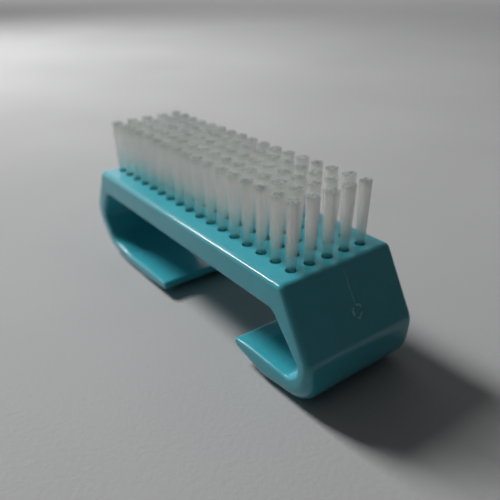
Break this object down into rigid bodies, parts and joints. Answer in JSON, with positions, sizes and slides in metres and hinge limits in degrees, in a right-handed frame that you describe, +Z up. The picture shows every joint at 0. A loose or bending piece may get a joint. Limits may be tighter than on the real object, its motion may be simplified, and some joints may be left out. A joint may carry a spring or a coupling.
{
  "type": "nail brush",
  "caption": "Finger-grip nail brush: a gloss plastic bristle block whose ends curl under into finger hooks of unequal length, topped with rows of clear nylon tufts.",
  "frame": {"origin": "on the resting plane, at the middle of the outer box", "axes": "+X along the brush towards its short hook, +Y across the brush, +Z up along the bristles"},
  "size_m": [0.0928, 0.0284, 0.0379],
  "materials": {
    "teal_plastic": "gloss moulded polypropylene, teal",
    "clear_nylon": "clear level-trimmed nylon filament",
    "anchor_wire": "drawn flat wire"
  },
  "bodies": {
    "handle_body": {"handle": "teal_plastic", "anchor_row_01": "anchor_wire", "anchor_row_02": "anchor_wire", "anchor_row_03": "anchor_wire", "anchor_row_04": "anchor_wire", "anchor_row_05": "anchor_wire", "anchor_row_06": "anchor_wire", "anchor_row_07": "anchor_wire", "anchor_row_08": "anchor_wire", "anchor_row_09": "anchor_wire", "anchor_row_10": "anchor_wire", "anchor_row_11": "anchor_wire", "anchor_row_12": "anchor_wire", "anchor_row_13": "anchor_wire", "anchor_row_14": "anchor_wire", "anchor_row_15": "anchor_wire", "anchor_row_16": "anchor_wire", "anchor_row_17": "anchor_wire"},
    "tufts_01": {"tuft_row_01": "clear_nylon"},
    "tufts_02": {"tuft_row_02": "clear_nylon"},
    "tufts_03": {"tuft_row_03": "clear_nylon"},
    "tufts_04": {"tuft_row_04": "clear_nylon"},
    "tufts_05": {"tuft_row_05": "clear_nylon"},
    "tufts_06": {"tuft_row_06": "clear_nylon"},
    "tufts_07": {"tuft_row_07": "clear_nylon"},
    "tufts_08": {"tuft_row_08": "clear_nylon"},
    "tufts_09": {"tuft_row_09": "clear_nylon"},
    "tufts_10": {"tuft_row_10": "clear_nylon"},
    "tufts_11": {"tuft_row_11": "clear_nylon"},
    "tufts_12": {"tuft_row_12": "clear_nylon"},
    "tufts_13": {"tuft_row_13": "clear_nylon"},
    "tufts_14": {"tuft_row_14": "clear_nylon"},
    "tufts_15": {"tuft_row_15": "clear_nylon"},
    "tufts_16": {"tuft_row_16": "clear_nylon"},
    "tufts_17": {"tuft_row_17": "clear_nylon"}
  },
  "joints": [
    {"name": "row_01_lean", "type": "hinge", "parent": "handle_body", "child": "tufts_01", "pos_m": [-0.0369, 0, 0.02079], "axis": [0, 1, 0], "range_deg": [-8, 8], "stiffness_Nm_per_rad": 0.008},
    {"name": "row_02_lean", "type": "hinge", "parent": "handle_body", "child": "tufts_02", "pos_m": [-0.0324, 0, 0.02079], "axis": [0, 1, 0], "range_deg": [-8, 8], "stiffness_Nm_per_rad": 0.008},
    {"name": "row_03_lean", "type": "hinge", "parent": "handle_body", "child": "tufts_03", "pos_m": [-0.0279, 0, 0.02079], "axis": [0, 1, 0], "range_deg": [-8, 8], "stiffness_Nm_per_rad": 0.008},
    {"name": "row_04_lean", "type": "hinge", "parent": "handle_body", "child": "tufts_04", "pos_m": [-0.0234, 0, 0.02079], "axis": [0, 1, 0], "range_deg": [-8, 8], "stiffness_Nm_per_rad": 0.008},
    {"name": "row_05_lean", "type": "hinge", "parent": "handle_body", "child": "tufts_05", "pos_m": [-0.0189, 0, 0.02079], "axis": [0, 1, 0], "range_deg": [-8, 8], "stiffness_Nm_per_rad": 0.008},
    {"name": "row_06_lean", "type": "hinge", "parent": "handle_body", "child": "tufts_06", "pos_m": [-0.0144, 0, 0.02079], "axis": [0, 1, 0], "range_deg": [-8, 8], "stiffness_Nm_per_rad": 0.008},
    {"name": "row_07_lean", "type": "hinge", "parent": "handle_body", "child": "tufts_07", "pos_m": [-0.0099, 0, 0.02079], "axis": [0, 1, 0], "range_deg": [-8, 8], "stiffness_Nm_per_rad": 0.008},
    {"name": "row_08_lean", "type": "hinge", "parent": "handle_body", "child": "tufts_08", "pos_m": [-0.0054, 0, 0.02079], "axis": [0, 1, 0], "range_deg": [-8, 8], "stiffness_Nm_per_rad": 0.008},
    {"name": "row_09_lean", "type": "hinge", "parent": "handle_body", "child": "tufts_09", "pos_m": [-0.0009, 0, 0.02079], "axis": [0, 1, 0], "range_deg": [-8, 8], "stiffness_Nm_per_rad": 0.008},
    {"name": "row_10_lean", "type": "hinge", "parent": "handle_body", "child": "tufts_10", "pos_m": [0.0036, 0, 0.02079], "axis": [0, 1, 0], "range_deg": [-8, 8], "stiffness_Nm_per_rad": 0.008},
    {"name": "row_11_lean", "type": "hinge", "parent": "handle_body", "child": "tufts_11", "pos_m": [0.0081, 0, 0.02079], "axis": [0, 1, 0], "range_deg": [-8, 8], "stiffness_Nm_per_rad": 0.008},
    {"name": "row_12_lean", "type": "hinge", "parent": "handle_body", "child": "tufts_12", "pos_m": [0.0126, 0, 0.02079], "axis": [0, 1, 0], "range_deg": [-8, 8], "stiffness_Nm_per_rad": 0.008},
    {"name": "row_13_lean", "type": "hinge", "parent": "handle_body", "child": "tufts_13", "pos_m": [0.0171, 0, 0.02079], "axis": [0, 1, 0], "range_deg": [-8, 8], "stiffness_Nm_per_rad": 0.008},
    {"name": "row_14_lean", "type": "hinge", "parent": "handle_body", "child": "tufts_14", "pos_m": [0.0216, 0, 0.02079], "axis": [0, 1, 0], "range_deg": [-8, 8], "stiffness_Nm_per_rad": 0.008},
    {"name": "row_15_lean", "type": "hinge", "parent": "handle_body", "child": "tufts_15", "pos_m": [0.0261, 0, 0.02079], "axis": [0, 1, 0], "range_deg": [-8, 8], "stiffness_Nm_per_rad": 0.008},
    {"name": "row_16_lean", "type": "hinge", "parent": "handle_body", "child": "tufts_16", "pos_m": [0.0306, 0, 0.02079], "axis": [0, 1, 0], "range_deg": [-8, 8], "stiffness_Nm_per_rad": 0.008},
    {"name": "row_17_lean", "type": "hinge", "parent": "handle_body", "child": "tufts_17", "pos_m": [0.0351, 0, 0.02079], "axis": [0, 1, 0], "range_deg": [-8, 8], "stiffness_Nm_per_rad": 0.008}
  ],
  "couplings": [
    {"joint": "row_02_lean", "follows": "row_01_lean", "ratio": 1},
    {"joint": "row_03_lean", "follows": "row_01_lean", "ratio": 1},
    {"joint": "row_04_lean", "follows": "row_01_lean", "ratio": 1},
    {"joint": "row_05_lean", "follows": "row_01_lean", "ratio": 1},
    {"joint": "row_06_lean", "follows": "row_01_lean", "ratio": 1},
    {"joint": "row_07_lean", "follows": "row_01_lean", "ratio": 1},
    {"joint": "row_08_lean", "follows": "row_01_lean", "ratio": 1},
    {"joint": "row_09_lean", "follows": "row_01_lean", "ratio": 1},
    {"joint": "row_10_lean", "follows": "row_01_lean", "ratio": 1},
    {"joint": "row_11_lean", "follows": "row_01_lean", "ratio": 1},
    {"joint": "row_12_lean", "follows": "row_01_lean", "ratio": 1},
    {"joint": "row_13_lean", "follows": "row_01_lean", "ratio": 1},
    {"joint": "row_14_lean", "follows": "row_01_lean", "ratio": 1},
    {"joint": "row_15_lean", "follows": "row_01_lean", "ratio": 1},
    {"joint": "row_16_lean", "follows": "row_01_lean", "ratio": 1},
    {"joint": "row_17_lean", "follows": "row_01_lean", "ratio": 1}
  ]
}
